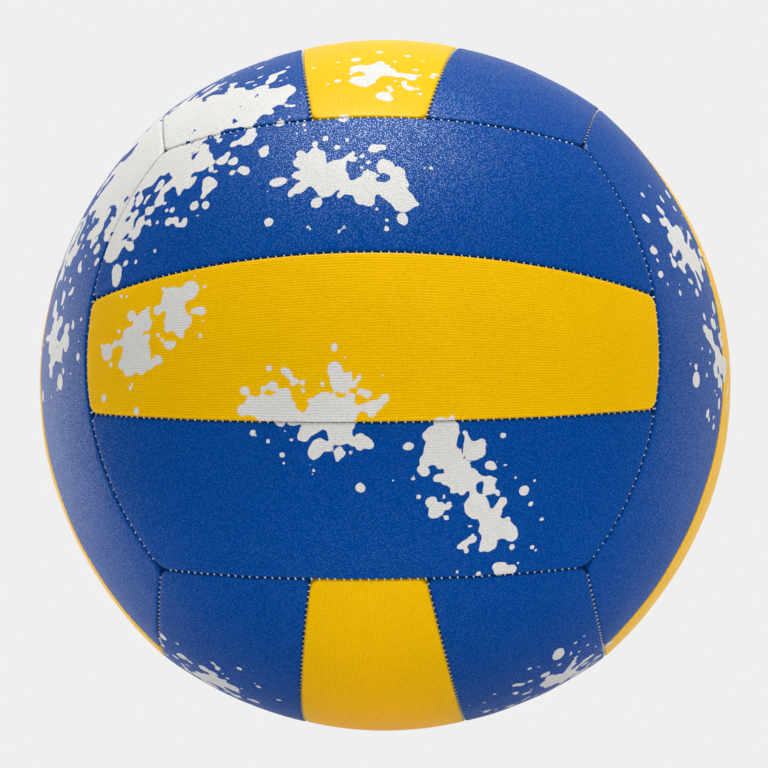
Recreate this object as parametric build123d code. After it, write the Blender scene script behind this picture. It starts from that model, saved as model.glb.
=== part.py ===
"""An indoor volleyball of eighteen sewn panels: six faces of three strips each, over a bladder with a valve.

The ball's centre is the origin and +Z is up. The strips of the front and back faces run along X, those of
the top and bottom faces along Y, and those of the left and right faces along Z. The valve is in the middle
of the back face and opens along +Y. Lengths are in millimetres.
"""
from build123d import *
import math
import os

# Ball and panel layout
ball_diameter = 210.0
centre_strip_width = 48.6  # along the curve, half way along a centre strip
centre_strip_end_width = 32.6  # straight across a centre strip, at its end seams
edge_bow = 11.5  # how far a face's long edge bows in from the great circle through its corners

# Panel laminate
skin_thickness = 0.8
foam_thickness = 3.0
lining_thickness = 0.4
edge_radius = 2.0  # roll of a skin where it turns down into a seam
corner_round_share = 1.3  # a panel's corner radius, as a share of that roll
seam_gap = 0.1  # between the turned edges of two panels
glue_line = 0.05  # between two bonded layers

# Sewing thread in the seams
thread_diameter = 0.6
thread_clearance = 0.05  # to the rolled edge on each side
thread_end_gap = 1.5  # where threads of several seams come together

# Bladder and the patch that balances the valve
bladder_gap = 0.2
bladder_thickness = 0.7
patch_diameter = 26.0
patch_thickness = 1.5

# Valve
stem_diameter = 9.0
stem_length = 20.0
stem_recess = 0.4  # depth of the stem's face below the top of the ball
stem_hole_clearance = 0.3
flange_diameter = 30.0
flange_thickness = 1.2
core_diameter = 5.2
core_length = 16.0
core_head_diameter = 6.6
core_head_thickness = 1.4
core_clearance = 0.03
needle_bore_diameter = 2.2
needle_bore_depth = 9.0

cut_overrun = 3.0

# Radii of the layers, from the outside in
ball_radius = ball_diameter / 2
foam_top = ball_radius - skin_thickness - glue_line
foam_base = foam_top - foam_thickness
lining_top = foam_base - glue_line
lining_base = lining_top - lining_thickness
bladder_top = lining_base - bladder_gap
bladder_base = bladder_top - bladder_thickness
skin_inset = seam_gap / 2
hollow_inset = skin_inset + skin_thickness
filling_inset = hollow_inset + glue_line
corner_radius = corner_round_share * edge_radius

# Directions in the face that the panels are drawn in: the front one
outward = Vector(0, -1, 0)
across = Vector(0, 0, 1)
along = across.cross(outward)


def seam_plane(first, second):
    """Offset from the centre, and (outward, across) normal, of the plane of a seam through two points.

    The points are given as (outward, across); the plane also runs along the strips.
    """
    run = (second[0] - first[0], second[1] - first[1])
    normal = (-run[1], run[0])
    length = math.hypot(*normal)
    normal = (normal[0] / length, normal[1] / length)
    return normal[0] * first[0] + normal[1] * first[1], normal


def point_at(angle):
    """The (outward, across) point at an angle from the middle of a face, half way along its strips."""
    return ball_radius * math.cos(angle), ball_radius * math.sin(angle)


def strip_end(edge_offset, edge_normal):
    """The (outward, across, along) point where a strip seam meets the end seam of its face."""
    half_width = centre_strip_end_width / 2
    reach = math.sqrt(ball_radius**2 - half_width**2 - edge_offset**2)
    end_along = edge_offset * edge_normal[0] + reach * edge_normal[1]
    end_outward = edge_offset * edge_normal[1] - reach * edge_normal[0]
    return end_outward, half_width, end_along


# Each face's long edge runs through two corners of a cube; its strip seams end on its neighbours' edges
corner_reach = ball_radius / math.sqrt(3)
edge_mid = point_at(math.pi / 4 - edge_bow / ball_radius)
edge_offset, edge_normal = seam_plane((corner_reach, corner_reach), edge_mid)
edge_end = (corner_reach, corner_reach, corner_reach)
strip_mid = point_at(centre_strip_width / 2 / ball_radius)
strip_finish = strip_end(edge_offset, edge_normal)
strip_offset, strip_normal = seam_plane(strip_finish[:2], strip_mid)

# The wall of an edge seam is a large sphere that crosses the ball's surface at a right angle
wall_distance = ball_radius**2 / edge_offset
wall_radius = math.sqrt(wall_distance**2 - ball_radius**2)


def edge_wall(face_outward, face_across, growth):
    """The ball whose surface is the wall of a face's long edge; what lies inside is past the edge."""
    axis = face_outward * edge_normal[0] + face_across * edge_normal[1]
    away = face_across * edge_normal[0] - face_outward * edge_normal[1]
    seat = Plane(origin=axis * wall_distance, x_dir=away, z_dir=axis)
    return seat.location * Sphere(wall_radius + growth)


def past_strip_seam(side, growth):
    """All that lies past the strip seam on one side of the centre strip."""
    normal = outward * strip_normal[0] + across * strip_normal[1] * side
    seat = Plane(origin=normal * (strip_offset - growth), z_dir=normal)
    height = ball_radius + cut_overrun
    return seat.location * Pos(0, 0, height / 2) * Cylinder(2 * height, height)


def face_shell(low, high, inset):
    """A layer of the front face between two radii, inside its two end seams."""
    shell = Sphere(high) - Sphere(low)
    for end in (along, -along):
        shell = shell & edge_wall(end, outward, -inset)
    return shell


def centre_outline(low, high, inset):
    """A layer of the front face's centre strip, with square edges."""
    shell = face_shell(low, high, inset)
    return shell - [past_strip_seam(side, inset) for side in (1, -1)]


def side_outline(low, high, inset):
    """A layer of the front face's upper strip, with square edges."""
    shell = face_shell(low, high, inset) & past_strip_seam(1, -inset)
    return shell - edge_wall(outward, across, inset)


def rounded(block, corner, roll):
    """A panel block with its corners rounded and its outer rim rolled over."""
    walls = [edge for edge in block.edges() if abs((edge @ 0).length - (edge @ 1).length) > glue_line]
    block = fillet(walls, corner)
    top = block.faces().sort_by(lambda face: face.center().length)[-1]
    return fillet(top.edges(), roll)


def panel_layers(outline):
    """The three layers of one panel: the skin with its edges turned down, the foam and the cloth lining."""
    skin = rounded(outline(lining_base, ball_radius, skin_inset), corner_radius, edge_radius)
    hollow_top = ball_radius - skin_thickness
    hollow_corner = corner_radius - skin_thickness
    hollow_roll = edge_radius - skin_thickness
    hollow = outline(lining_base - cut_overrun, hollow_top, hollow_inset)
    hollow = rounded(hollow, hollow_corner, hollow_roll)
    filling = outline(lining_base, foam_top, filling_inset)
    filling = rounded(filling, hollow_corner - glue_line, hollow_roll - glue_line)
    foam = filling - Sphere(foam_base)
    lining = filling & Sphere(lining_top)
    return {"skin": skin - hollow, "foam": foam, "lining": lining}


def face_frame(face_outward, face_across, side=1):
    """Where the front face's panels go to lie in another face, or half a turn round in it."""
    return Plane(
        origin=(0, 0, 0),
        x_dir=face_across.cross(face_outward) * side,
        z_dir=face_across * side,
    ).location


def seam_thread(offset, normal, seam_mid, seam_end):
    """One thread in its groove along a seam, drawn along the front face's strips."""
    axis = outward * normal[0] + across * normal[1]
    to_mid = outward * seam_mid[0] + across * seam_mid[1] - axis * offset
    to_end = outward * seam_end[0] + across * seam_end[1] + along * seam_end[2] - axis * offset
    seam_radius = to_mid.length
    half_turn = math.degrees(math.acos(to_mid.dot(to_end) / seam_radius**2) - thread_end_gap / seam_radius)
    roll_apart = edge_radius + skin_inset
    contact = edge_radius + thread_diameter / 2 + thread_clearance
    depth = edge_radius - math.sqrt(contact**2 - roll_apart**2)
    sunk = 1 - depth / ball_radius
    section = Plane(
        origin=(seam_radius * sunk, 0, offset * sunk), x_dir=(1, 0, 0), z_dir=(0, -1, 0)
    ) * Circle(thread_diameter / 2)
    arc = Rot(0, 0, -half_turn) * revolve(section, axis=Axis.Z, revolution_arc=2 * half_turn)
    return Plane(origin=(0, 0, 0), x_dir=to_mid, z_dir=axis).location * arc


def valve_seat():
    """The frame of the valve: its Z is the way out, through the middle of the back face."""
    return Plane(origin=(0, 0, 0), x_dir=(1, 0, 0), z_dir=-outward).location


def along_valve(radius, low, high):
    """A cylinder on the valve's axis between two distances from the ball's centre."""
    return valve_seat() * Pos(0, 0, (low + high) / 2) * Cylinder(radius, high - low)


stem_top = ball_radius - stem_recess
stem_radius = stem_diameter / 2
stem_hole_radius = stem_radius + stem_hole_clearance
stem_hole = along_valve(stem_hole_radius, bladder_base - cut_overrun, ball_radius + cut_overrun)


def bladder():
    """The hollow rubber ball that holds the air, open where the valve is bonded in."""
    wall = Sphere(bladder_top) - Sphere(bladder_base)
    return wall - along_valve(stem_radius + glue_line, bladder_base - cut_overrun, ball_radius)


def inner_disc(diameter, thickness, seat):
    """A round patch bonded to the inside of the bladder."""
    top = bladder_base - glue_line
    shell = Sphere(top) - Sphere(top - thickness)
    return shell & (seat * Pos(0, 0, ball_radius / 2) * Cylinder(diameter / 2, ball_radius))


def valve_housing():
    """The valve's rubber stem with its flange inside the bladder and a stepped seat for the core."""
    stem = along_valve(stem_radius, stem_top - stem_length, stem_top)
    body = stem + inner_disc(flange_diameter, flange_thickness, valve_seat())
    seat_radius = core_diameter / 2 + core_clearance
    body = body - along_valve(seat_radius, stem_top - stem_length - cut_overrun, stem_top)
    head_low = stem_top - core_head_thickness - core_clearance
    return body - along_valve(core_head_diameter / 2 + core_clearance, head_low, stem_top + cut_overrun)


def valve_core():
    """The soft plug that closes on the needle: a headed pin with a blind bore."""
    pin = along_valve(core_diameter / 2, stem_top - core_length, stem_top)
    pin = pin + along_valve(core_head_diameter / 2, stem_top - core_head_thickness, stem_top)
    return pin - along_valve(needle_bore_diameter / 2, stem_top - needle_bore_depth, stem_top + cut_overrun)


# Each face's outward and across directions, with its strips' names from the across side to the other
X = Vector(1, 0, 0)
Y = Vector(0, 1, 0)
Z = Vector(0, 0, 1)
faces = {
    "front": (-Y, Z, ("upper", "centre", "lower")),
    "back": (Y, Z, ("upper", "centre", "lower")),
    "right": (X, -Y, ("front", "centre", "rear")),
    "left": (-X, -Y, ("front", "centre", "rear")),
    "top": (Z, X, ("right", "centre", "left")),
    "bottom": (-Z, X, ("right", "centre", "left")),
}
valve_face = "back"


def panels():
    """Every layer of all eighteen panels, by name."""
    centre_layers = panel_layers(centre_outline)
    side_layers = panel_layers(side_outline)
    made = {}
    for face, (face_outward, face_across, strips) in faces.items():
        for strip, layers, side in zip(strips, (side_layers, centre_layers, side_layers), (1, 1, -1)):
            frame = face_frame(face_outward, face_across, side)
            for layer, shape in layers.items():
                made[f"{face}_{strip}_{layer}"] = frame * shape
    for layer in centre_layers:
        made[f"{valve_face}_centre_{layer}"] -= stem_hole
    return made


def threads(offset, normal, seam_mid, seam_end):
    """The threads of one kind of seam: two in every face."""
    arc = seam_thread(offset, normal, seam_mid, seam_end)
    return Compound(children=[
        face_frame(face_outward, face_across, side) * solid
        for face_outward, face_across, _ in faces.values()
        for side in (1, -1)
        for solid in arc.solids()
    ])


parts = panels()
parts["edge_seam_thread"] = threads(edge_offset, edge_normal, edge_mid, edge_end)
parts["strip_seam_thread"] = threads(strip_offset, strip_normal, strip_mid, strip_finish)
parts["bladder"] = bladder()
parts["balance_patch"] = inner_disc(
    patch_diameter, patch_thickness, Plane(origin=(0, 0, 0), x_dir=(1, 0, 0), z_dir=outward).location
)
parts["valve_housing"] = valve_housing()
parts["valve_core"] = valve_core()

os.makedirs("parts", exist_ok=True)
for name, shape in parts.items():
    shape.label = name
    export_step(shape, os.path.join("parts", f"{name}.step"))

print(f"{len(parts)} nodes; edge seams {edge_offset:.2f} mm, strip seams {strip_offset:.2f} mm from the centre")
print(f"a side strip is {ball_radius * math.pi / 4 - edge_bow - centre_strip_width / 2:.1f} mm wide")
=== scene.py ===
# %% [markdown]
# # A sewn volleyball
# The ball is eighteen grained panels, sewn edge to edge over foam, cloth and a rubber bladder. The packed
# frame already has every piece at its real size and place. This lesson dresses it: each skin becomes a
# panel with rolled rims and puckers, each seam gets its stitches, and each finish gets its own nodes.

# %% The packed frame
import math
import random

import bpy
from mathutils import Matrix, Vector


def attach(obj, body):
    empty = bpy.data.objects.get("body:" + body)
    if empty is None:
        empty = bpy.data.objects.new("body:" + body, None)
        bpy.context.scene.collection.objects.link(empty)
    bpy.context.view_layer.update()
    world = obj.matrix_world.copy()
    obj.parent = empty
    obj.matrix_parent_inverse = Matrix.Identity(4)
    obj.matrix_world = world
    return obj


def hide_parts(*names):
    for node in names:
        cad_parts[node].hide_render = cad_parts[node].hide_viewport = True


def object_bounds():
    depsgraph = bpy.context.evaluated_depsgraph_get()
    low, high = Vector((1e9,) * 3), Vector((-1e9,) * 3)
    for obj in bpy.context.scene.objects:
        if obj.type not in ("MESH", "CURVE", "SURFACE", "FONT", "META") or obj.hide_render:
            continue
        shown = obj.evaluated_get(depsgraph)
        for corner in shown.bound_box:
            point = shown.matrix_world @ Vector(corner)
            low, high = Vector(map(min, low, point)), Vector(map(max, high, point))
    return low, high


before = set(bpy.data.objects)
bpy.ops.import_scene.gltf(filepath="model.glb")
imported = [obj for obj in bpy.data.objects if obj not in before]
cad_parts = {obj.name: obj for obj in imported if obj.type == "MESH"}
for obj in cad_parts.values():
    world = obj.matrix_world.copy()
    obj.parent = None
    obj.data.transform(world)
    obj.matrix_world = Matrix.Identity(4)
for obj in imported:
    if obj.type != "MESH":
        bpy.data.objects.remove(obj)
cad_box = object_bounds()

print(f"{len(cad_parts)} nodes, box {[round(side, 4) for side in cad_box[1] - cad_box[0]]} m")

# %% [markdown]
# ## The ball's own sizes
# Blender works in metres, so a millimetre gets a name. Four sizes shape the ball: its radius, how wide a
# centre strip is in the middle and at its ends, and how far the edges of the six faces bow. They repeat the
# sizes that the frame was built with. Finer ones, such as a stitch's, come where they are first needed.

# %% Driving sizes
mm = 0.001
ball_radius = 105 * mm
centre_strip_width = 48.6 * mm
centre_strip_end_width = 32.6 * mm
edge_bow = 11.5 * mm
frame_height = cad_box[1].z - cad_box[0].z
print(f"a ball {2 * ball_radius / mm:.0f} mm across, in a frame {frame_height / mm:.1f} mm high")

# %% [markdown]
# ## Where the seams run
# Every seam is a circle cut from the ball by a plane that runs along its face's strips. Two angles give
# such a plane: how far from the middle of the face the seam passes, and how far its plane leans. A face's
# long edge has to reach two corners of a cube; a strip seam has to end on the neighbouring face's edge.

# %% Seam angles
def seam_lean(mid_angle, end_point):
    """How far a seam's plane leans, from its mid angle and an (outward, across) point on the unit ball."""
    return math.atan2(math.sin(mid_angle) - end_point[1], math.cos(mid_angle) - end_point[0])


cube_corner = 1 / math.sqrt(3)
edge_angle = math.pi / 4 - edge_bow / ball_radius
edge_lean = seam_lean(edge_angle, (cube_corner, cube_corner))
edge_offset = math.sin(edge_angle - edge_lean)

strip_angle = centre_strip_width / 2 / ball_radius
strip_end_height = centre_strip_end_width / 2 / ball_radius
end_reach = math.sqrt(1 - strip_end_height**2 - edge_offset**2)
strip_end_outward = edge_offset * math.cos(edge_lean) + end_reach * math.sin(edge_lean)
strip_end_along = end_reach * math.cos(edge_lean) - edge_offset * math.sin(edge_lean)
strip_lean = seam_lean(strip_angle, (strip_end_outward, strip_end_height))
print(f"edge seam {math.degrees(edge_angle):.1f} deg out, leaning {math.degrees(edge_lean):.1f} deg")
print(f"strip seam {math.degrees(strip_angle):.1f} deg out, leaning {math.degrees(strip_lean):.1f} deg")

# %% [markdown]
# ## Six faces
# One face is worked out once, at the front: outward is -Y, across is +Z and the strips run along +X. A turn
# carries it to each of the other faces, and a half turn about the outward axis swaps its two side strips.
# Modelling each face where it lies would take six sets of formulas. A face is listed with its outward and
# across directions and the names of its strips.

# %% Face turns
faces = {
    "front": ((0, -1, 0), (0, 0, 1), ("upper", "centre", "lower")),
    "back": ((0, 1, 0), (0, 0, 1), ("upper", "centre", "lower")),
    "right": ((1, 0, 0), (0, -1, 0), ("front", "centre", "rear")),
    "left": ((-1, 0, 0), (0, -1, 0), ("front", "centre", "rear")),
    "top": ((0, 0, 1), (1, 0, 0), ("right", "centre", "left")),
    "bottom": ((0, 0, -1), (1, 0, 0), ("right", "centre", "left")),
}


def face_turn(face, side):
    """The turn from the front face to another, or to its other side strip, as Euler angles."""
    outward, across, _ = faces[face]
    outward = Vector(outward)
    across = Vector(across) * side
    columns = (across.cross(outward), -outward, across)
    return Matrix(columns).transposed().to_euler()


print("turn of the right face:", [round(math.degrees(angle)) for angle in face_turn("right", 1)])

# %% [markdown]
# ## Nodes as sums
# Geometry and material trees are mostly arithmetic. It could be wired one Math node at a time, but it reads
# best as arithmetic. A Wire is a node's output with the Python operators on it, so a + b adds a Math node,
# and the reflected operators let a plain number come first, as in 1 - a.

# %% Wire
class Wire:
    """One output of a node. Arithmetic on wires adds Math nodes to their tree."""

    def __init__(self, tree, socket):
        self.tree = tree
        self.socket = socket

    def out(self, name):
        """Another output of the same node."""
        return Wire(self.tree, self.tree.find(self.socket.node.outputs, name))

    def math(self, operation, *others):
        """A Math node with this wire on its first socket."""
        return self.tree.math(operation, self, *others)

    def __add__(self, other):
        return self.math("ADD", other)

    def __sub__(self, other):
        return self.math("SUBTRACT", other)

    def __rsub__(self, other):
        return self.tree.math("SUBTRACT", other, self)

    def __mul__(self, other):
        return self.math("MULTIPLY", other)

    def __truediv__(self, other):
        return self.math("DIVIDE", other)

    def __rtruediv__(self, other):
        return self.tree.math("DIVIDE", other, self)

    def __neg__(self):
        return self.math("MULTIPLY", -1.0)

    def __abs__(self):
        return self.math("ABSOLUTE")

    __radd__ = __add__
    __rmul__ = __mul__

    def sin(self):
        return self.math("SINE")

    def cos(self):
        return self.math("COSINE")

    def asin(self):
        return self.math("ARCSINE")

    def sqrt(self):
        return self.math("SQRT")

    def least(self, other):
        return self.math("MINIMUM", other)

    def most(self, other):
        return self.math("MAXIMUM", other)

    def held(self):
        """The value held between 0 and 1."""
        return self.least(1.0).most(0.0)

    def ramp(self, low, high):
        """A smooth step from 0 at low to 1 at high."""
        sockets = {"Value": self, "From Min": low, "From Max": high}
        return self.tree.node("ShaderNodeMapRange", {"interpolation_type": "SMOOTHSTEP"}, sockets)


print("a wire has", [name for name in vars(Wire) if not name.startswith("_")])

# %% [markdown]
# ## One way to add a node
# Every other node comes from one method: its type, its settings and what goes into its sockets. The settings
# come first, because they decide which sockets a node shows: a Mix node for colours has other sockets than
# a Mix node for numbers. The nodes that this lesson uses often get a short name of their own.

# %% Tree
class Tree:
    """A node tree under construction."""

    def __init__(self, tree):
        self.tree = tree

    @staticmethod
    def find(sockets, key):
        """The socket of this number, or the one in use that has this name."""
        if isinstance(key, int):
            return sockets[key]
        return next(socket for socket in sockets if socket.enabled and socket.name == key)

    def plug(self, socket, value):
        """Links a wire, or each wire of a list, to a socket, or sets the socket to a plain value."""
        if isinstance(value, Wire):
            self.tree.links.new(value.socket, socket)
        elif isinstance(value, list):
            for wire in value:
                self.plug(socket, wire)
        else:
            socket.default_value = value

    def node(self, kind, settings=None, sockets=None, output=0):
        """Adds a node and gives the wire of one of its outputs, or nothing for a node that ends a tree."""
        made = self.tree.nodes.new(kind)
        for name, value in (settings or {}).items():
            setattr(made, name, value)
        for key, value in (sockets or {}).items():
            self.plug(self.find(made.inputs, key), value)
        return Wire(self, self.find(made.outputs, output)) if made.outputs else None

    def math(self, operation, *operands):
        return self.node("ShaderNodeMath", {"operation": operation}, dict(enumerate(operands)))

    def vector(self, operation, *operands):
        return self.node("ShaderNodeVectorMath", {"operation": operation}, dict(enumerate(operands)))

    def scaled(self, vector, factor):
        return self.node("ShaderNodeVectorMath", {"operation": "SCALE"}, {"Vector": vector, "Scale": factor})

    def joined(self, x, y, z):
        return self.node("ShaderNodeCombineXYZ", sockets={"X": x, "Y": y, "Z": z})

    def parts(self, vector):
        split = self.node("ShaderNodeSeparateXYZ", sockets={"Vector": vector})
        return split, split.out("Y"), split.out("Z")

    def noise(self, place, scale, detail):
        return self.node("ShaderNodeTexNoise", sockets={"Vector": place, "Scale": scale, "Detail": detail})

    def cells(self, place, scale):
        return self.node("ShaderNodeTexVoronoi", {"feature": "F1"}, {"Vector": place, "Scale": scale})

    def blended(self, factor, first, second):
        """A colour between two others."""
        sockets = {"Factor": factor, "A": first, "B": second}
        return self.node("ShaderNodeMix", {"data_type": "RGBA"}, sockets, "Result")


print("a tree has", [name for name in vars(Tree) if not name.startswith("_")])

# %% [markdown]
# ## Growing a mesh
# A Geometry Nodes tree is a recipe with named inputs. It could stay on its object as a live modifier, but
# here each piece keeps a plain mesh instead: it starts as an empty mesh, gets its inputs by the sockets'
# identifiers, is evaluated once and keeps the result.

# %% Growing
def geometry_tree(name, inputs):
    """An empty geometry tree with named inputs, and the wire of each input."""
    group = bpy.data.node_groups.new(name, "GeometryNodeTree")
    for label, kind in inputs.items():
        group.interface.new_socket(name=label, in_out="INPUT", socket_type=f"NodeSocket{kind}")
    group.interface.new_socket(name="Geometry", in_out="OUTPUT", socket_type="NodeSocketGeometry")
    tree = Tree(group)
    source = tree.node("NodeGroupInput")
    return tree, {label: source.out(label) for label in inputs}


def grown(tree, name, values, finishers=()):
    """A mesh object grown by a geometry tree from its named values, then finished by plain modifiers."""
    piece = bpy.data.objects.new(name, bpy.data.meshes.new(name))
    bpy.context.scene.collection.objects.link(piece)
    modifier = piece.modifiers.new("grow", "NODES")
    modifier.node_group = tree.tree
    for item in tree.tree.interface.items_tree:
        if item.in_out == "INPUT":
            modifier[item.identifier] = values[item.name]
    for kind, settings in finishers:
        finisher = piece.modifiers.new(kind.lower(), kind)
        for setting, value in settings.items():
            setattr(finisher, setting, value)
    bpy.context.view_layer.update()
    evaluated = piece.evaluated_get(bpy.context.evaluated_depsgraph_get())
    mesh = bpy.data.meshes.new_from_object(evaluated)
    mesh.name = name
    piece.modifiers.clear()
    piece.data = mesh
    return piece


print("geometry trees can be built and grown")

# %% [markdown]
# ## Camera
# The photograph looks at the ball from a little below its middle, through a long lens. The lens could be
# found by trying, but the share of the picture that the ball's outline fills gives it at once. A shift of
# about one pixel then puts the outline in its place.

# %% Camera
picture_pixels = 768
outline_radius_pixels = 345.6
shift_pixels = (-1.1, 1.1)
camera_azimuth = math.radians(3.3)
camera_elevation = math.radians(-7.6)
camera_distance = 11 * ball_radius
sensor_width = 36.0
outline_share = outline_radius_pixels / (picture_pixels / 2)
outline_tangent = math.tan(math.asin(ball_radius / camera_distance))
camera_data = bpy.data.cameras.new("camera")
camera_data.sensor_width = sensor_width
camera_data.lens = sensor_width / 2 * outline_share / outline_tangent
camera_data.shift_x, camera_data.shift_y = (pixels / picture_pixels for pixels in shift_pixels)
camera_data.clip_start = 10 * mm
camera = bpy.data.objects.new("camera", camera_data)
bpy.context.scene.collection.objects.link(camera)
camera.location = camera_distance * Vector((
    math.sin(camera_azimuth) * math.cos(camera_elevation),
    -math.cos(camera_azimuth) * math.cos(camera_elevation),
    math.sin(camera_elevation),
))
camera.rotation_euler = (-camera.location).to_track_quat("-Z", "Y").to_euler()
bpy.context.scene.camera = camera
bpy.context.scene.view_settings.view_transform = "Standard"
print(f"lens {camera_data.lens:.1f} mm at {camera_distance:.3f} m")

# %% [markdown]
# ## Floor
# The ball stands on a plain pale floor. The camera looks up from below it, so the underside lets the camera
# through. Near the ball the floor is half see-through, so that the lamp under it reaches the ball, and
# further away it fades out, so that no border shows. One Mix Shader of a matt and a clear shader does it.

# %% Floor
floor_size = 6.0
floor_grey = (0.78, 0.78, 0.78, 1.0)
floor_thinness = 0.5
fade_start = 0.15
fade_end = 0.75


def new_material(name):
    """A material with an empty tree."""
    material = bpy.data.materials.new(name)
    material.use_nodes = True
    material.node_tree.nodes.clear()
    return material, Tree(material.node_tree)


def floor_material():
    material, tree = new_material("pale_floor")
    body = tree.node("ShaderNodeBsdfDiffuse", sockets={"Color": floor_grey})
    clear = tree.node("ShaderNodeBsdfTransparent")
    seen = tree.node("ShaderNodeLightPath", output="Is Camera Ray")
    under = tree.node("ShaderNodeNewGeometry", output="Backfacing")
    place = tree.node("ShaderNodeTexCoord", output="Object")
    away = tree.node("ShaderNodeVectorMath", {"operation": "LENGTH"}, {0: place}, "Value")
    far = away.ramp(fade_start, fade_end)
    through = (seen * under).most(floor_thinness + (1 - floor_thinness) * far)
    mixed = tree.node("ShaderNodeMixShader", sockets={0: through, 1: body, 2: clear})
    tree.node("ShaderNodeOutputMaterial", sockets={"Surface": mixed})
    return material


bpy.ops.mesh.primitive_plane_add(size=floor_size, location=(0, 0, -ball_radius))
floor = bpy.context.object
floor.name = "floor"
floor.data.materials.append(floor_material())
print(f"a floor {-floor.location.z / mm:.0f} mm under the ball's middle")

# %% [markdown]
# ## Ground and dome
# Behind the ball the photograph is an even pale grey. A dome that bright would wash the ball out, so the
# world has two faces, told apart by Light Path: the camera and reflections see the pale ground, and the ball
# is lit by a dimmer dome that brightens towards the top.

# %% World
ground_colour = (0.863, 0.863, 0.863, 1.0)
dome_colour = (1.0, 1.0, 1.0, 1.0)
dome_strength = 0.33
dome_rise = 0.17
rise_start = -0.6
rise_end = 0.9


def studio_world():
    world = bpy.data.worlds.new("studio")
    world.use_nodes = True
    world.node_tree.nodes.clear()
    tree = Tree(world.node_tree)
    height = tree.parts(tree.node("ShaderNodeTexCoord", output="Generated"))[2]
    level = dome_strength + dome_rise * height.ramp(rise_start, rise_end)
    dome = tree.node("ShaderNodeBackground", sockets={"Color": dome_colour, "Strength": level})
    ground = tree.node("ShaderNodeBackground", sockets={"Color": ground_colour})
    path = tree.node("ShaderNodeLightPath", output="Is Camera Ray")
    plain = path.most(path.out("Is Glossy Ray")).most(path.out("Is Transmission Ray"))
    shown = tree.node("ShaderNodeMixShader", sockets={0: plain, 1: dome, 2: ground})
    tree.node("ShaderNodeOutputWorld", sockets={"Surface": shown})
    return world


bpy.context.scene.world = studio_world()
print(f"a dome of strength {dome_strength} to {dome_strength + dome_rise}")

# %% [markdown]
# ## Soft boxes
# A studio lights a ball with large soft lamps, which area lamps stand for. The key lamp hangs over the front
# of the ball, the fill lamp softens the front, the low lamp lifts the underside, and two rim lamps behind
# the ball draw its sides. The sheen lamp gives gloss alone, so it can be strong without bleaching colours.
# Each lamp has a place, the lengths of its two sides and a power in watts.

# %% Soft boxes
soft_boxes = {
    "key_light": ((0.0, -0.27, 1.7), (0.6, 0.4), 22.5),
    "fill_light": ((0.8, -1.6, 0.1), (1.2, 1.2), 8.5),
    "low_light": ((0.0, -0.55, -1.5), (1.2, 1.2), 17.0),
    "left_rim_light": ((-1.3, 1.0, -0.15), (0.9, 1.5), 17.0),
    "right_rim_light": ((1.35, 0.95, 0.1), (0.9, 1.3), 7.5),
    "sheen_light": ((-0.1, -0.3, 1.7), (1.0, 0.5), 110.0),
}


def soft_box(name, place, sides, power):
    """A rectangular area lamp that looks at the ball."""
    lamp = bpy.data.lights.new(name, "AREA")
    lamp.shape = "RECTANGLE"
    lamp.size, lamp.size_y = sides
    lamp.energy = power
    box = bpy.data.objects.new(name, lamp)
    bpy.context.scene.collection.objects.link(box)
    box.location = place
    box.rotation_euler = (-Vector(place)).to_track_quat("-Z", "Y").to_euler()
    box.visible_camera = False
    return box


for name, (place, sides, power) in soft_boxes.items():
    box = soft_box(name, place, sides, power)
    box.visible_diffuse = name != "sheen_light"
print(f"{len(soft_boxes)} soft boxes")

# %% [markdown]
# ## Where paint was thrown
# White splashes cover parts of the ball and run on across its seams. They could be painted on each panel,
# but thrown paint is easily thrown by rule. Each splash is a place on the ball, in degrees round and up,
# its reach in millimetres, and how much of it is one pool. A seeded throw gives it blots that make the
# pool, fingers that point away from the middle, many small droplets and a few larger drops.

# %% Splash marks
splashes = (
    (-50, 39, 26, 1.0), (-44, 34, 18, 1.0), (-37, 45, 16, 0.9), (-56, 29, 16, 0.9), (-36, 30, 11, 0.5),
    (-27, 44, 10, 0.3), (-48, 19, 9, 0.4), (-7, 27, 12, 0.7), (3, 24, 9, 0.4), (2, 52, 11, 0.5),
    (-40, 1, 11, 0.5), (-30, 5, 7, 0.3), (-4, -12, 12, 0.8), (-14, -10, 7, 0.3), (17, -21, 10, 0.5),
    (22, -30, 9, 0.5), (12, -16, 6, 0.2), (-66, 5, 14, 0.5), (-70, 22, 9, 0.4), (66, 18, 14, 0.5),
    (73, 2, 12, 0.5), (-70, -60, 14, 0.5), (75, -59, 14, 0.6), (120, 30, 18, 0.9), (140, -15, 13, 0.5),
    (168, 27, 12, 0.6), (200, -32, 15, 0.8), (226, 12, 13, 0.5), (102, -36, 12, 0.5), (254, 36, 15, 0.7),
    (160, 62, 15, 0.7), (232, -62, 12, 0.5), (-53, 42, 20, 1.0), (-47, 37, 16, 1.0), (-58, 35, 15, 1.0),
)
pool_blots = 8
blot_size = (0.16, 0.5)
blot_place = (0.0, 0.6)
fewest_fingers = 4
finger_spacing = 4 * mm
finger_length = (0.08, 0.3)
finger_width_mm = (0.45, 1.3)
finger_place = (0.6, 1.3)
droplet_spacing = 0.32 * mm
most_drops = 7
drop_size_mm = (1.4, 3.8)
drop_place = (0.2, 1.0)


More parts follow.
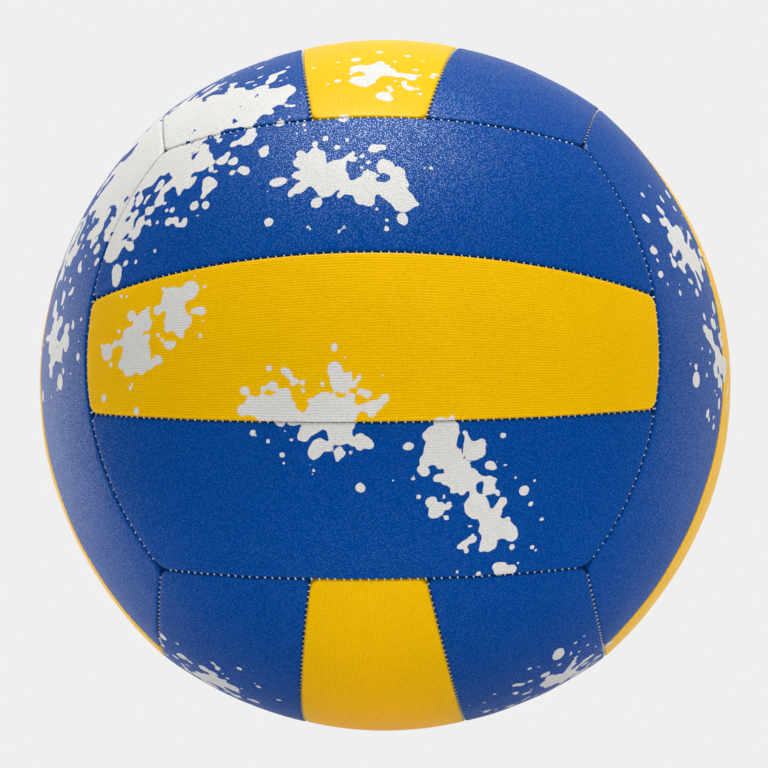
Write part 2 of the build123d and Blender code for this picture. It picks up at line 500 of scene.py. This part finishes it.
def thrown_marks(dice, reach, pool):
    """The marks of one splash, as (heading, distance, half length, half width)."""
    marks = []

    def mark(distance, length, width, heading=None):
        """Adds a mark, with a random heading where none is given."""
        heading = dice.uniform(0, 2 * math.pi) if heading is None else heading
        marks.append((heading, distance, length, width))

    for _ in range(pool_blots):
        size = reach * pool * dice.uniform(*blot_size)
        mark(reach * pool * dice.uniform(*blot_place), size, size)
    # A finger ends in a bead, and starts near the border of the pool.
    pool_border = reach * (0.2 + 0.45 * pool)
    for _ in range(fewest_fingers + int(reach / finger_spacing)):
        heading = dice.uniform(0, 2 * math.pi)
        length = reach * dice.uniform(*finger_length)
        width = dice.uniform(*finger_width_mm) * mm
        distance = pool_border * dice.uniform(*finger_place)
        mark(distance, length, width, heading)
        mark(distance + length, width * 1.4, width * 1.3, heading)
    # Powers of a random number make most droplets small, near and round, and a few large, far or long.
    for _ in range(int(reach / droplet_spacing)):
        size = (0.45 + 1.1 * dice.random() ** 3 + 1.8 * dice.random() ** 12) * mm
        distance = reach * (0.4 + 0.4 * pool + 1.2 * dice.random() ** 1.5)
        mark(distance, size * (1 + 0.9 * dice.random() ** 3), size)
    for _ in range(int(most_drops * (1 - pool))):
        size = dice.uniform(*drop_size_mm) * mm
        mark(reach * dice.uniform(*drop_place), size, size)
    return marks


print(f"{len(splashes)} splashes, reaching up to {max(reach for _, _, reach, _ in splashes)} mm")

# %% [markdown]
# ## Marks laid on the ball
# Each mark becomes a flat oval patch on the ball. The patches are only a guide and go once the panels are
# made: a panel measures how far each of its points is from the nearest patch, and the ink follows from
# that distance. So a splash runs on across a seam, and its edge stays crisp whatever the grid.

# %% Splash patches
throw_seed = 7
rim_points = 20


def direction(round_degrees, up_degrees):
    """The unit vector at an angle round from the front, to the right, and an angle up."""
    turn = math.radians(round_degrees)
    rise = math.radians(up_degrees)
    return Vector((math.sin(turn) * math.cos(rise), -math.cos(turn) * math.cos(rise), math.sin(rise)))


def splash_patches():
    """One mesh of all marks: each a fan of triangles laid on the ball."""
    dice = random.Random(throw_seed)
    points = []
    triangles = []
    for round_degrees, up_degrees, reach, pool in splashes:
        middle = direction(round_degrees, up_degrees)
        east = Vector((0, 0, 1)).cross(middle).normalized()
        north = middle.cross(east)
        for heading, distance, length, width in thrown_marks(dice, reach * mm, pool):
            away = east * math.cos(heading) + north * math.sin(heading)
            aside = middle.cross(away)
            centre = middle * ball_radius + away * distance
            first = len(points)
            points.append(centre.normalized() * ball_radius)
            for step in range(rim_points):
                angle = 2 * math.pi * step / rim_points
                spot = centre + away * length * math.cos(angle) + aside * width * math.sin(angle)
                points.append(spot.normalized() * ball_radius)
                triangles.append((first, first + 1 + step, first + 1 + (step + 1) % rim_points))
    mesh = bpy.data.meshes.new("splash_patches")
    mesh.from_pydata(points, [], triangles)
    patches = bpy.data.objects.new("splash_patches", mesh)
    bpy.context.scene.collection.objects.link(patches)
    return patches


patches = splash_patches()
print(f"{len(patches.data.polygons) // rim_points} marks laid on the ball")

# %% [markdown]
# ## Circles on the ball
# A strip of the ball is spanned by circles that lean gradually from one long seam to the other, so any spot
# of a panel, and any stitch, can be worked out in closed form. These helpers give a spot on such a circle
# and measure its place beside a seam. They work on a ball of radius 1, in the front face, and the ends of
# that face are seams of the faces beside it.

# %% Circles and seams
def circle(angle, lean):
    """How far off the middle a leaning circle's plane lies, and the circle's radius."""
    offset = (angle - lean).sin()
    return offset, (1 - offset * offset).sqrt()


def spot_on_circle(offset, ring_radius, lean, turn):
    """The x, y and z of the spot that lies a turn away from the middle of a leaning circle."""
    out = ring_radius * turn.cos()
    x = ring_radius * turn.sin()
    y = offset * lean.sin() - out * lean.cos()
    z = offset * lean.cos() + out * lean.sin()
    return x, y, z


def from_beside(spot):
    """A spot of the front face as the face beside its nearer end has it."""
    x, y, z = spot
    return z, -abs(x), -y


def gap_to_seam(spot, angle, lean, radius):
    """How far a spot is from a seam, on a ball of this radius."""
    _, y, z = spot
    height = y * lean.sin() + z * lean.cos()
    return abs(height.asin() - (angle - lean)) * radius


def arc_along_seam(spot, angle, lean, radius):
    """How far along a seam a spot lies, from the seam's middle."""
    x, y, z = spot
    out = z * lean.sin() - y * lean.cos()
    return x.math("ARCTAN2", out) * (angle - lean).cos() * radius


print("spots, gaps and arcs can be worked out")

# %% [markdown]
# ## A ball that is not quite round
# A sewn ball stands a little proud along the edges of its faces, which makes its outline slightly square.
# The rise is greatest at the edges and gone a ridge's reach away from them. It could be sculpted on each
# panel, but as a function of the gap to the edges it lifts the panels and their stitches alike. The sizes
# that it needs are given to both, so they have a list of their own.

# %% Ridge
def ridge(spot, given):
    """How far a spot stands proud of a true sphere."""
    x, y, z = spot
    edge = (given["Edge Angle"], given["Edge Lean"], given["Ball Radius"])
    gaps = (gap_to_seam((x, y, abs(z)), *edge), gap_to_seam(from_beside(spot), *edge))
    near_long, near_end = ((1 - gap / given["Ridge Reach"]).held() for gap in gaps)
    return given["Edge Ridge"] * (1 - (1 - near_long * near_long) * (1 - near_end * near_end))


edge_ridge = 1.2 * mm
ridge_reach = 60 * mm
ball_shape = {
    "Ball Radius": ball_radius,
    "Edge Angle": edge_angle,
    "Edge Lean": edge_lean,
    "Edge Ridge": edge_ridge,
    "Ridge Reach": ridge_reach,
}
print(f"a rise of {edge_ridge / mm} mm along the edges, gone {ridge_reach / mm:.0f} mm away")

# %% [markdown]
# ## The rim of a panel
# A panel's skin rolls over at its border and goes down into the seam. The grid's lines crowd together there,
# so that few faces draw a tight roll. The corners are rounded, and each stitch pulls the rim in a little:
# a wave along the seam, which fades within half a stitch.

# %% Rim
roll_steps = 7
pull_fade = 2.2


def spread(place, count, half_length, roll):
    """Where a grid line lies between middle (0) and border (1), signed, and how far it is down the wall."""
    half_count = (count - 1) / 2
    ring = (1 - abs(place)) * half_count
    turned = ((ring - 1) / roll_steps).held()
    inner = (ring - 1 - roll_steps).most(0.0) / (half_count - 1 - roll_steps)
    distance = roll * (1 - (turned * (math.pi / 2)).cos()) + inner * (half_length - roll)
    share = place.math("SIGN") * (1 - distance / half_length)
    return share, (1 - ring).held()


def pull(arc, distance, pitch):
    """How strongly the stitches of one seam pull the rim."""
    wave = 0.5 + 0.5 * (arc * (2 * math.pi) / pitch).cos()
    faded = distance / pitch * pull_fade
    return wave * (-(faded * faded)).math("EXPONENT")


def rim(spot, given):
    """How far a spot lies inside the rounded rim, and how strongly all stitches near it pull."""
    seams = (
        (spot, given["First Angle"], given["First Lean"], given["Ball Radius"]),
        (spot, given["Last Angle"], given["Last Lean"], given["Ball Radius"]),
        (from_beside(spot), given["Edge Angle"], given["Edge Lean"], given["Ball Radius"]),
    )
    gaps = [gap_to_seam(*seam) for seam in seams]
    arcs = [arc_along_seam(*seam) for seam in seams]
    pulls = [pull(arc, gap, given["Stitch Pitch"]) for arc, gap in zip(arcs, gaps)]
    first_gap, last_gap, end_gap = gaps
    corner = given["Corner Radius"]
    near_long = (corner + given["Half Gap"] - first_gap.least(last_gap)).most(0.0)
    near_end = (corner + given["Half Gap"] - end_gap).most(0.0)
    inside = corner - (near_long * near_long + near_end * near_end).sqrt()
    return inside, pulls[0] + pulls[1] + pulls[2]


print(f"a rim rolls over in {roll_steps} steps")

# %% [markdown]
# ## What a panel is given
# A panel needs the sizes of its own two long seams, of the face's edge at its ends and of its rim, and its
# turn, splashes and finish. Two more helpers use them: one finds where a row of the panel meets the edge of
# the face beside it, the other how far a spot is from the paint. A slight blur takes the corners off the
# ovals.

# %% Panel inputs
panel_inputs = {
    **dict.fromkeys(ball_shape, "Float"),
    "Columns": "Int",
    "Rows": "Int",
    "First Angle": "Float",
    "First Lean": "Float",
    "Last Angle": "Float",
    "Last Lean": "Float",
    "Half Width": "Float",
    "End Half Width": "Float",
    "Half Gap": "Float",
    "Roll": "Float",
    "Corner Radius": "Float",
    "Depth": "Float",
    "Stitch Pitch": "Float",
    "Pucker": "Float",
    "Swell": "Float",
    "Ink Creep": "Float",
    "Turn": "Vector",
    "Splashes": "Object",
    "Finish": "Material",
}


def end_turn(given, lean, offset, ring_radius):
    """How far along its circle a row of the panel meets the edge of the face beside it."""
    tilt = given["Edge Lean"]
    along = -tilt.sin()
    out = lean.cos() * tilt.cos()
    reach = ((given["Edge Angle"] - tilt).sin() + offset * lean.sin() * tilt.cos()) / ring_radius
    span = (along * along + out * out).sqrt()
    return along.math("ARCTAN2", out) + (reach / span).math("ARCCOSINE")


def ink_distance(tree, given):
    """Distance to the border of the nearest splash mark, below 0 inside it."""
    place = tree.vector("NORMALIZE", tree.node("GeometryNodeInputPosition"))
    marks = tree.node("GeometryNodeObjectInfo", sockets={"Object": given["Splashes"]}, output="Geometry")
    distance = tree.node("GeometryNodeProximity", {"target_element": "FACES"}, {
        "Geometry": marks, "Sample Position": tree.scaled(place, given["Ball Radius"])}, "Distance")
    return tree.node("GeometryNodeBlurAttribute", {"data_type": "FLOAT"}, {
        "Value": distance - given["Ink Creep"], "Iterations": 1, "Weight": 0.35}, "Value")


print(f"a panel has {len(panel_inputs)} inputs")

# %% [markdown]
# ## One panel by rule
# The panel is a flat grid that a Geometry Nodes tree wraps on the ball: rows follow the leaning circles, and
# columns run across them. A cut sphere would need a boolean for each seam and leave ragged faces at the
# rims. The skin dips a little here and there, because no sewn panel is even. The tree also stores what
# the material needs: each spot's place on the strip, and its distance from the paint.

# %% Panel tree
swell_scale = 5.0
swell_crest = 0.62


def panel_tree():
    """The geometry tree of a panel, in the front face and then turned into its own."""
    tree, given = geometry_tree("sewn_panel", panel_inputs)
    radius = given["Ball Radius"]
    roll = given["Roll"]
    surface = tree.node("GeometryNodeMeshGrid", sockets={
        "Size X": 2.0, "Size Y": 2.0, "Vertices X": given["Columns"], "Vertices Y": given["Rows"]})
    column, row, _ = tree.parts(tree.node("GeometryNodeInputPosition"))

    half_width = given["Half Width"] + (given["End Half Width"] - given["Half Width"]) * column * column
    across, row_wall = spread(row, given["Rows"], half_width, roll)
    share = across * 0.5 + 0.5
    angle = given["First Angle"] + (given["Last Angle"] - given["First Angle"]) * share
    lean = given["First Lean"] + (given["Last Lean"] - given["First Lean"]) * share
    offset, ring_radius = circle(angle, lean)
    half_turn = end_turn(given, lean, offset, ring_radius)
    along, column_wall = spread(column, given["Columns"], half_turn * ring_radius * radius, roll)
    turn = along * half_turn
    spot = spot_on_circle(offset, ring_radius, lean, turn)
    place = tree.joined(*spot)

    inside, tug = rim(spot, given)
    turned = (1 - inside / roll).held()
    rolled = roll * (1 - (1 - turned * turned).sqrt()) + (-inside).most(0.0)
    swell = tree.noise(tree.vector("ADD", place, given["Turn"]), swell_scale, 1.0)
    drop = rolled + tug * given["Pucker"] + (swell_crest - swell).most(0.0) * given["Swell"]
    level = radius + ridge(spot, given) - drop
    level = level + row_wall.most(column_wall) * (radius - given["Depth"] - level)

    strip = tree.joined(turn * ring_radius * radius, angle * radius, inside)
    surface = tree.node("GeometryNodeStoreNamedAttribute", {"data_type": "FLOAT_VECTOR"}, {
        "Geometry": surface, "Name": "strip", "Value": strip})
    surface = tree.node("GeometryNodeSetPosition", sockets={
        "Geometry": surface, "Position": tree.scaled(place, level)})
    surface = tree.node("GeometryNodeTransform", sockets={"Geometry": surface, "Rotation": given["Turn"]})
    surface = tree.node("GeometryNodeStoreNamedAttribute", {"data_type": "FLOAT"}, {
        "Geometry": surface, "Name": "splash", "Value": ink_distance(tree, given)})
    surface = tree.node("GeometryNodeSetShadeSmooth", sockets={"Geometry": surface})
    surface = tree.node("GeometryNodeRealizeInstances", sockets={"Geometry": surface})
    surface = tree.node("GeometryNodeSetMaterial", sockets={"Geometry": surface, "Material": given["Finish"]})
    tree.node("NodeGroupOutput", sockets={"Geometry": surface})
    return tree


sewn_panel = panel_tree()
print(f"a panel tree of {len(sewn_panel.tree.nodes)} nodes")

# %% [markdown]
# ## Ink
# Such panels are printed before they are sewn, so the white goes down into the seams. Ink covers the skin
# where the stored distance is below 0. A little noise makes its border ragged, and the random cells of
# a Voronoi texture add spray, which thins out with the distance. An image would have a fixed sharpness.

# %% Ink
white_ink = (0.73, 0.715, 0.69, 1.0)
ragged_length = 2.5 * mm
ragged_depth = 0.4 * mm
spray_spacing = 2.6 * mm
spray_reach = 14 * mm
spray_share = 0.4
widest_speck = 0.55 * mm
finest_speck = 0.1 * mm
ink_feather = 0.06 * mm
ink_foot = -0.2 * mm
ink_full = 0.1 * mm


def print_mask(tree, place, inside):
    """1 where white ink covers the skin, which it does down into the seam."""
    distance = tree.node("ShaderNodeAttribute", {"attribute_name": "splash"}, output="Fac")
    ragged = tree.noise(place, 1 / ragged_length, 1.0)
    spray = tree.cells(place, 1 / spray_spacing)
    luck, growth, _ = tree.parts(spray.out("Color"))
    there = luck.math("LESS_THAN", spray_share - distance / spray_reach)
    speck = there * growth * widest_speck - spray * spray_spacing - finest_speck
    blot = (ragged - 0.5) * ragged_depth - distance
    return blot.most(speck).ramp(-ink_feather, ink_feather) * inside.ramp(ink_foot, ink_full)


print(f"ink with spray as far as {spray_share * spray_reach / mm:.1f} mm from a splash")

# %% [markdown]
# ## Skin
# The skin is a synthetic leather: a colour coat with a fine pebble grain, and on the yellow strips fine ribs
# along the strip. Voronoi cells make the pebbles and a sine wave makes the ribs; both go into a Bump node,
# because they are finer than any grid. The coat sits on the tops of the pebbles only, so that the lamps
# break into glints, as on real leather. A painted shade darkens the colour where the rim turns down into
# the seam, in place of the groove's shadow.

# %% Skin
skin_roughness = 0.28
groove_roughness = 0.08
ink_roughness = 0.06
grain_size = 0.5 * mm
grain_height = 0.11 * mm
grain_middle = 0.45
grain_under_ribs = 0.3
rib_pitch = 0.82 * mm
rib_height = 0.08
rib_shade = 0.1
rib_drift = 0.8
rib_drift_length = 5 * mm
ink_ribs = 0.45
ink_gloss = 0.2
tone_scale = 45.0
tone_swing = 0.12
glint_core = 0.12
glint_border = 0.42
painted_seam_shade = 0.5
painted_seam_shade_under_ink = 0.15
painted_seam_shade_width = 0.7 * mm


def skin_material(name, colour, gleam, speckle, gloss, ribs):
    """A grained skin: gleam tints its gloss, speckle is how much the grain shows in its colour."""
    material, tree = new_material(name)
    place = tree.node("ShaderNodeTexCoord", output="Object")
    strip = tree.node("ShaderNodeAttribute", {"attribute_name": "strip"}, output="Vector")
    _, across, inside = tree.parts(strip)
    ink = print_mask(tree, place, inside)
    tone = tree.noise(place, tone_scale, 4.0)
    cells = tree.cells(place, 1 / grain_size)
    drift = tree.noise(strip, 1 / rib_drift_length, 1.0)
    wave = ((across / rib_pitch + drift * rib_drift) * (2 * math.pi)).sin()
    ribbed = ribs + (1 - ribs) * ink_ribs * ink
    grain = (grain_middle - cells) * (1 - (1 - grain_under_ribs) * ribbed)
    glint = 1 - cells.ramp(glint_core, glint_border)
    # Painted shade: the colour darkens over the rolled rim down into the seam, where the groove lies in
    # shadow, and less so under ink.
    turned = 1 - inside.ramp(0.0, painted_seam_shade_width)
    edge = 1 - (painted_seam_shade - (painted_seam_shade - painted_seam_shade_under_ink) * ink) * turned
    toned = 1 - tone_swing / 2 + tone_swing * tone
    shade = toned * (1 + speckle * grain + rib_shade * wave * ribbed) * edge
    bump = tree.node("ShaderNodeBump", sockets={
        "Strength": 1.0,
        "Distance": grain_height,
        "Height": grain + wave * rib_height * ribbed,
    }, output="Normal")
    shader = tree.node("ShaderNodeBsdfPrincipled", sockets={
        "Base Color": tree.scaled(tree.blended(ink, colour, white_ink), shade),
        "Roughness": skin_roughness + groove_roughness * cells + ink_roughness * ink,
        "Normal": bump,
        "IOR": 1.5,
        "Specular IOR Level": 0.02,
        "Specular Tint": gleam,
        "Coat Weight": gloss * glint * (1 - (1 - ink_gloss) * ink),
        "Coat Roughness": 0.46,
    })
    tree.node("ShaderNodeOutputMaterial", sockets={"Surface": shader})
    return material


blue_skin = skin_material(
    "blue_skin",
    colour=(0.0006, 0.063, 0.308, 1.0),
    gleam=(0.4, 0.7, 1.0, 1.0),
    speckle=0.35,
    gloss=0.85,
    ribs=0.0,
)
yellow_skin = skin_material(
    "yellow_skin",
    colour=(0.90, 0.505, 0.0005, 1.0),
    gleam=(1.0, 0.85, 0.3, 1.0),
    speckle=0.6,
    gloss=0.2,
    ribs=1.0,
)
print(f"two skins of {len(blue_skin.node_tree.nodes)} nodes each")

# %% [markdown]
# ## Two kinds of panel
# Both kinds come from the same tree with other inputs: the centre strip lies between its two strip seams,
# the side strip between a strip seam and the face's edge. What they share is given once.

# %% Panel sizes
stitch_pitch = 2.3 * mm
seam_gap = 0.1 * mm
edge_roll = 0.9 * mm
corner_radius = 2.6 * mm
laminate_depth = 4.3 * mm
shared = {
    **ball_shape,
    "Columns": 281,
    "Rows": 73,
    "Half Gap": seam_gap / 2,
    "Roll": edge_roll,
    "Corner Radius": corner_radius,
    "Depth": laminate_depth,
    "Stitch Pitch": stitch_pitch,
    "Pucker": 0.12 * mm,
    "Swell": 0.5 * mm,
    "Ink Creep": 0.3 * mm,
    "Splashes": patches,
}
centre_kind = {
    "First Angle": -strip_angle,
    "First Lean": -strip_lean,
    "Last Angle": strip_angle,
    "Last Lean": strip_lean,
    "Half Width": centre_strip_width / 2,
    "End Half Width": centre_strip_end_width / 2,
    "Finish": yellow_skin,
}
side_width = (edge_angle - strip_angle) * ball_radius
side_kind = {
    "First Angle": strip_angle,
    "First Lean": strip_lean,
    "Last Angle": edge_angle,
    "Last Lean": edge_lean,
    "Half Width": side_width / 2,
    "End Half Width": side_width / 2,
    "Finish": blue_skin,
}
print(f"centre strips {centre_strip_width / mm:.1f} mm wide, side strips {side_width / mm:.1f} mm")

# %% [markdown]
# ## Eighteen panels
# A grid has no thickness, so a Solidify modifier gives the skin its own, inwards. The back centre panel is
# also bored for the valve, by a Boolean modifier with a cylinder that is removed afterwards. Each panel
# replaces the skin of the same name in the frame.

# %% Panels
skin_thickness = 0.8 * mm
stem_hole_radius = 4.8 * mm
drill_length = 40 * mm
drill_sides = 64


def valve_drill():
    """A cylinder through the middle of the back face, to bore the panel with."""
    bpy.ops.mesh.primitive_cylinder_add(
        radius=stem_hole_radius, depth=drill_length, vertices=drill_sides,
        location=(0, ball_radius, 0), rotation=(math.pi / 2, 0, 0))
    drill = bpy.context.object
    drill.name = "valve_drill"
    return drill


drill = valve_drill()
thicken = ("SOLIDIFY", {"thickness": skin_thickness, "offset": -1.0})
bore = ("BOOLEAN", {"object": drill, "operation": "DIFFERENCE", "solver": "EXACT"})
panel_triangles = 0
for face, (_, _, strips) in faces.items():
    for strip, kind, side in zip(strips, (side_kind, centre_kind, side_kind), (1, 1, -1)):
        finishers = [thicken, bore] if (face, strip) == ("back", "centre") else [thicken]
        values = {**shared, **kind, "Turn": face_turn(face, side)}
        panel = grown(sewn_panel, f"{face}_{strip}_panel", values, finishers)
        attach(panel, "root")
        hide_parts(f"{face}_{strip}_skin")
        "yellow_skin" if strip == "centre" else "blue_skin"
        panel_triangles += sum(len(polygon.vertices) - 2 for polygon in panel.data.polygons)
bpy.data.objects.remove(drill)
bpy.data.objects.remove(patches)
print(f"18 panels of {panel_triangles} triangles in all")

# %% [markdown]
# ## One stitch
# A needle ties the two rims together every few millimetres, and each stitch shows as a short pale bar
# across the groove. One bar is a bent bit of thread. It could be modelled by hand, but a circle swept along
# a curve keeps its sizes as inputs, and a bar that is repeated so often may have only a few faces.

# %% Stitch
bar_steps = 6
thread_sides = 8
stitch_inputs = {
    **dict.fromkeys(ball_shape, "Float"),
    "Count": "Int",
    "Mid Angle": "Float",
    "Lean": "Float",
    "Pitch": "Float",
    "Sink": "Float",
    "Length": "Float",
    "Thickness": "Float",
    "Rise": "Float",
    "Slant": "Float",
    "Seed": "Int",
    "Finish": "Material",
}


def thread_bar(tree, given):
    """One stitch along Y: a thread that rises in its middle and goes down at both ends."""
    half = given["Length"] * 0.5
    low = -given["Rise"]
    bend = tree.node("GeometryNodeCurveQuadraticBezier", sockets={
        "Resolution": bar_steps,
        "Start": tree.joined(0.0, -half, low),
        "Middle": tree.joined(0.0, 0.0, given["Rise"]),
        "End": tree.joined(0.0, half, low),
    })
    section = tree.node("GeometryNodeCurvePrimitiveCircle", sockets={
        "Resolution": thread_sides, "Radius": given["Thickness"] * 0.5})
    bar = tree.node("GeometryNodeCurveToMesh", sockets={
        "Curve": bend, "Profile Curve": section, "Fill Caps": True})
    return tree.node("GeometryNodeSetShadeSmooth", sockets={"Geometry": bar})


print(f"a stitch of {(bar_steps - 1) * thread_sides + 2} faces")

# %% [markdown]
# ## A row of stitches
# The tree sets the bar along its seam, on the same leaning circle as the rims: square on the ball, slanted
# to the seam, and a little uneven, as sewing is. An Array modifier could repeat the bar, but would neither
# follow the ball nor vary. One row is then turned to all twelve seams of its kind.

# %% Stitch tree
place_wander = 0.06
slant_wander = 0.12
length_wander = 0.12


def stitch_tree():
    """The geometry tree of the stitches of all twelve seams of one kind."""
    tree, given = geometry_tree("seam_stitches", stitch_inputs)
    index = tree.node("GeometryNodeInputIndex")

    def chance(middle, wander, number):
        """A random value for each stitch, up to a wander away from the middle."""
        return tree.node("FunctionNodeRandomValue", {"data_type": "FLOAT"}, {
            "Min": middle - wander, "Max": middle + wander, "ID": index, "Seed": given["Seed"] + number},
            output="Value")

    lean = given["Lean"]
    offset, ring_radius = circle(given["Mid Angle"], lean)
    arc = (index - (given["Count"] - 1) * 0.5 + chance(0.0, place_wander, 1)) * given["Pitch"]
    turn = arc / (ring_radius * given["Ball Radius"])
    spot = spot_on_circle(offset, ring_radius, lean, turn)
    outward = tree.joined(*spot)
    onward = tree.joined(turn.cos(), turn.sin() * lean.cos(), -turn.sin() * lean.sin())
    sideways = tree.vector("CROSS_PRODUCT", outward, onward)
    slant = given["Slant"] + chance(0.0, slant_wander, 2)
    skewed = tree.vector("ADD", tree.scaled(onward, slant.cos()), tree.scaled(sideways, slant.sin()))
    turned = tree.node("FunctionNodeAxesToRotation", {"primary_axis": "Z", "secondary_axis": "X"}, {
        "Primary Axis": outward, "Secondary Axis": skewed})

    depth = given["Ball Radius"] + ridge(spot, given) - given["Sink"]
    line = tree.node("GeometryNodeMeshLine", {"mode": "OFFSET"}, {"Count": given["Count"]})
    line = tree.node("GeometryNodeSetPosition", sockets={
        "Geometry": line, "Position": tree.scaled(outward, depth)})
    row = tree.node("GeometryNodeInstanceOnPoints", sockets={
        "Points": line,
        "Instance": thread_bar(tree, given),
        "Rotation": turned,
        "Scale": tree.joined(1.0, chance(1.0, length_wander, 3), 1.0),
    })
    copies = [
        tree.node("GeometryNodeTransform", sockets={"Geometry": row, "Rotation": face_turn(face, side)})
        for face in faces for side in (1, -1)
    ]
    rows = tree.node("GeometryNodeJoinGeometry", sockets={"Geometry": copies})
    rows = tree.node("GeometryNodeRealizeInstances", sockets={"Geometry": rows})
    rows = tree.node("GeometryNodeSetMaterial", sockets={"Geometry": rows, "Material": given["Finish"]})
    tree.node("NodeGroupOutput", sockets={"Geometry": rows})
    return tree


seam_stitches = stitch_tree()
print(f"a stitch tree of {len(seam_stitches.tree.nodes)} nodes")

# %% [markdown]
# ## Thread
# The thread is pale and twisted. Its fibres could be modelled as strands, but they are far too fine for
# that here, so a noise of their size varies the colour and feeds a Bump node.

# %% Thread
fibre_size = 0.25 * mm
fibre_height = 0.05 * mm
thread_shadow = (0.30, 0.36, 0.39, 1.0)
thread_light = (0.66, 0.72, 0.72, 1.0)


def thread_material():
    material, tree = new_material("stitch_thread")
    place = tree.node("ShaderNodeTexCoord", output="Object")
    fibre = tree.noise(place, 1 / fibre_size, 2.0)
    bump = tree.node("ShaderNodeBump", sockets={
        "Strength": 0.5, "Distance": fibre_height, "Height": fibre}, output="Normal")
    shader = tree.node("ShaderNodeBsdfPrincipled", sockets={
        "Base Color": tree.blended(fibre, thread_shadow, thread_light), "Roughness": 0.6, "Normal": bump})
    tree.node("ShaderNodeOutputMaterial", sockets={"Surface": shader})
    return material


stitch_thread = thread_material()
print(f"a thread finish of {len(stitch_thread.node_tree.nodes)} nodes")

# %% [markdown]
# ## Two sets of seams
# Twelve seams part the faces and twelve part the strips within them. Each set is one piece, as in the frame,
# and replaces the thread that runs there. The number of stitches follows from the seam's length, less a
# little at its ends, where three panels meet.

# %% Stitches
end_clearance = 1.5 * mm


def half_arc(end_point, mid_angle, lean):
    """Length of a seam from its middle to its end, at the ball's surface."""
    offset = math.sin(mid_angle - lean)
    outward, across, along = end_point
    out = outward * math.cos(lean) + across * math.sin(lean)
    return math.atan2(along, out) * math.sqrt(1 - offset**2) * ball_radius


seams = {
    "edge": (edge_angle, edge_lean, (cube_corner, cube_corner, cube_corner)),
    "strip": (strip_angle, strip_lean, (strip_end_outward, strip_end_height, strip_end_along)),
}
for kind, (mid_angle, lean, end_point) in seams.items():
    reach = half_arc(end_point, mid_angle, lean)
    count = 2 * int((reach - end_clearance) / stitch_pitch) + 1
    row = grown(seam_stitches, f"{kind}_seam_stitches", {
        **ball_shape,
        "Count": count,
        "Mid Angle": mid_angle,
        "Lean": lean,
        "Pitch": stitch_pitch,
        "Sink": 0.6 * mm,
        "Length": 1.35 * mm,
        "Thickness": 0.5 * mm,
        "Rise": 0.3 * mm,
        "Slant": 0.3,
        "Seed": 5,
        "Finish": stitch_thread,
    })
    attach(row, "root")
    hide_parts(f"{kind}_seam_thread")
    print(f"{kind} seams: {count} stitches in each of 12, {len(row.data.polygons)} faces")

# %% [markdown]
# ## Inside the ball
# Under the skin lie foam and a woven lining, then the bladder with its patch and valve. Only the valve can
# be seen, through the hole in the back panel, so all of them keep their solids from the frame and only get a
# finish: a colour that wanders between two shades, at the size of the material's own grain.

# %% Inner finishes
def plain_material(name, dark, light, grain, roughness):
    """A finish whose colour wanders between two shades."""
    material, tree = new_material(name)
    place = tree.node("ShaderNodeTexCoord", output="Object")
    shade = tree.blended(tree.noise(place, 1 / grain, 3.0), (*dark, 1.0), (*light, 1.0))
    shader = tree.node("ShaderNodeBsdfPrincipled", sockets={"Base Color": shade, "Roughness": roughness})
    tree.node("ShaderNodeOutputMaterial", sockets={"Surface": shader})
    return material


finishes = {
    "foam": plain_material("foam", (0.62, 0.62, 0.60), (0.80, 0.80, 0.77), 1.5 * mm, 0.9),
    "lining": plain_material("lining", (0.62, 0.58, 0.50), (0.80, 0.77, 0.70), 0.6 * mm, 0.95),
    "bladder": plain_material("bladder_rubber", (0.02, 0.02, 0.022), (0.05, 0.05, 0.052), 6 * mm, 0.55),
    "balance_patch": plain_material("patch_rubber", (0.03, 0.03, 0.03), (0.06, 0.06, 0.06), 4 * mm, 0.6),
    "valve_housing": plain_material("valve_rubber", (0.018, 0.018, 0.018), (0.04, 0.04, 0.04), 0.8 * mm, 0.6),
    "valve_core": plain_material("core_rubber", (0.10, 0.10, 0.10), (0.18, 0.18, 0.18), 0.7 * mm, 0.5),
}
finished = 0
for node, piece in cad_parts.items():
    kind = node if node in finishes else node.split("_")[-1]
    if kind in finishes:
        piece.data.materials.clear()
        piece.data.materials.append(finishes[kind])
        finished += 1
print(f"{len(finishes)} inner finishes on {finished} pieces")

# %% [markdown]
# ## The frame's box
# Dressing the frame must not change its size. The frame's box is measured and printed when the frame is
# read in, at the top of the script.
